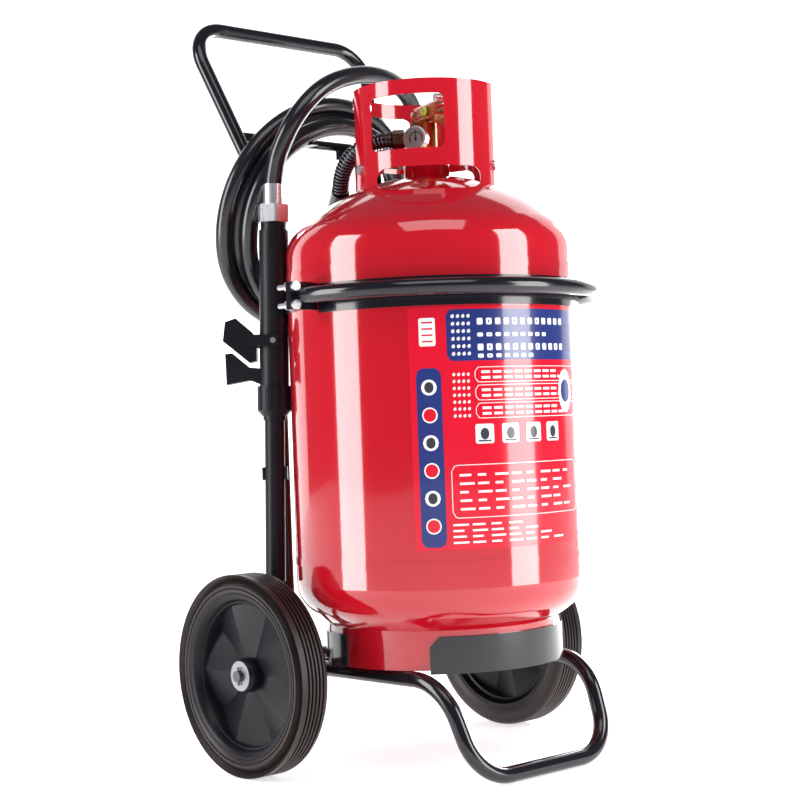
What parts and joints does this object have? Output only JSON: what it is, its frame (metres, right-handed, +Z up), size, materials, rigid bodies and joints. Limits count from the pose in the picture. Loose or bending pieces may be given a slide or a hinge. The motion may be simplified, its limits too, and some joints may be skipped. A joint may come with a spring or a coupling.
{
  "type": "wheeled fire extinguisher",
  "caption": "Wheeled dry-powder fire extinguisher: red steel cylinder on a black tubular trolley with a hose coil and discharge gun.",
  "frame": {"origin": "on the floor under the axis of the cylinder", "axes": "+Z up, X along the wheel axle, -Y to the front with the foot bar"},
  "size_m": [0.542, 0.5659, 1.0655],
  "materials": {
    "red_paint": "gloss",
    "label_film": "gloss",
    "black_tube": "gloss",
    "zinc_steel": "satin",
    "tyre_rubber": "matte",
    "black_plastic": "satin",
    "hose_rubber": "gloss",
    "brass": "satin",
    "chrome": "polished",
    "white_plastic": "matte",
    "needle_black": "matte",
    "gauge_glass": "clear",
    "tag_green": "gloss"
  },
  "bodies": {
    "trolley": {"axle": "zinc_steel", "axle_collars": "zinc_steel", "axle_pins": "zinc_steel", "axle_washers": "zinc_steel", "collar": "red_paint", "collar_bolts": "zinc_steel", "cradle_front_band": "black_tube", "cradle_rear_band": "black_tube", "cross_brace": "black_tube", "cylinder_shell": "red_paint", "dip_tube": "white_plastic", "foot_frame": "black_tube", "foot_ring": "red_paint", "gauge_case": "chrome", "gauge_dial": "white_plastic", "gauge_lens": "gauge_glass", "gun_barrel": "black_plastic", "gun_body": "black_plastic", "gun_clip_lower": "black_tube", "gun_clip_upper": "black_tube", "gun_ferrule": "chrome", "gun_grip": "black_plastic", "gun_inlet": "black_plastic", "gun_nut": "black_plastic", "gun_seat": "white_plastic", "gun_swivel_nut": "chrome", "handle_frame": "black_tube", "hoop_bolts": "zinc_steel", "hoop_flanges": "black_tube", "hoop_strap": "black_tube", "hoop_tube": "black_tube", "hose_coil": "hose_rubber", "hose_drop": "hose_rubber", "hose_guard": "chrome", "hose_hanger": "black_tube", "hose_lead": "hose_rubber", "label_sheet": "label_film", "lever_pin": "zinc_steel", "neck_boss": "red_paint", "outlet_nut": "brass", "seal_tag": "tag_green", "stem_seal": "hose_rubber", "stem_spring": "zinc_steel", "upright_lugs": "black_tube", "valve_body": "brass", "valve_grip": "brass"},
    "left_wheel": {"left_tyre": "tyre_rubber", "left_rim": "black_plastic", "left_bushing": "black_plastic"},
    "right_wheel": {"right_tyre": "tyre_rubber", "right_rim": "black_plastic", "right_bushing": "black_plastic"},
    "valve_lever_body": {"valve_lever": "chrome"},
    "stem_body": {"valve_stem": "zinc_steel"},
    "pin_body": {"safety_pin": "zinc_steel"},
    "needle_body": {"gauge_needle": "needle_black"},
    "gun_lever_body": {"gun_lever": "black_plastic", "gun_ball": "brass", "gun_spindle": "zinc_steel"}
  },
  "joints": [
    {"name": "left_wheel_roll", "type": "hinge", "parent": "trolley", "child": "left_wheel", "pos_m": [-0.244, 0.1187, 0.135], "axis": [1, 0, 0], "continuous": true},
    {"name": "right_wheel_roll", "type": "hinge", "parent": "trolley", "child": "right_wheel", "pos_m": [0.244, 0.1187, 0.135], "axis": [1, 0, 0], "continuous": true},
    {"name": "valve_squeeze", "type": "hinge", "parent": "trolley", "child": "valve_lever_body", "pos_m": [0.00456, 0.01324, 0.893], "axis": [0.9455, -0.3256, 0], "range_deg": [0, 4], "stiffness_Nm_per_rad": 0.6},
    {"name": "stem_slide", "type": "slide", "parent": "trolley", "child": "stem_body", "axis": [0, 0, -1], "range_m": [0, 0.0012], "deforming": ["stem_spring"]},
    {"name": "safety_pin_pull", "type": "slide", "parent": "trolley", "child": "pin_body", "axis": [0.9455, -0.3256, 0], "range_m": [0, 0.034]},
    {"name": "needle_swing", "type": "hinge", "parent": "trolley", "child": "needle_body", "pos_m": [-0.0318, -0.01311, 0.8535], "axis": [-0.9245, -0.3811, 0], "range_deg": [-120, 120]},
    {"name": "gun_lever_turn", "type": "hinge", "parent": "trolley", "child": "gun_lever_body", "pos_m": [-0.1459, 0.17, 0.58494], "axis": [0.6777, 0.7349, -0.0247], "range_deg": [0, 30]}
  ],
  "couplings": [
    {"joint": "stem_slide", "follows": "valve_squeeze", "m_per_rad": 0.014}
  ]
}
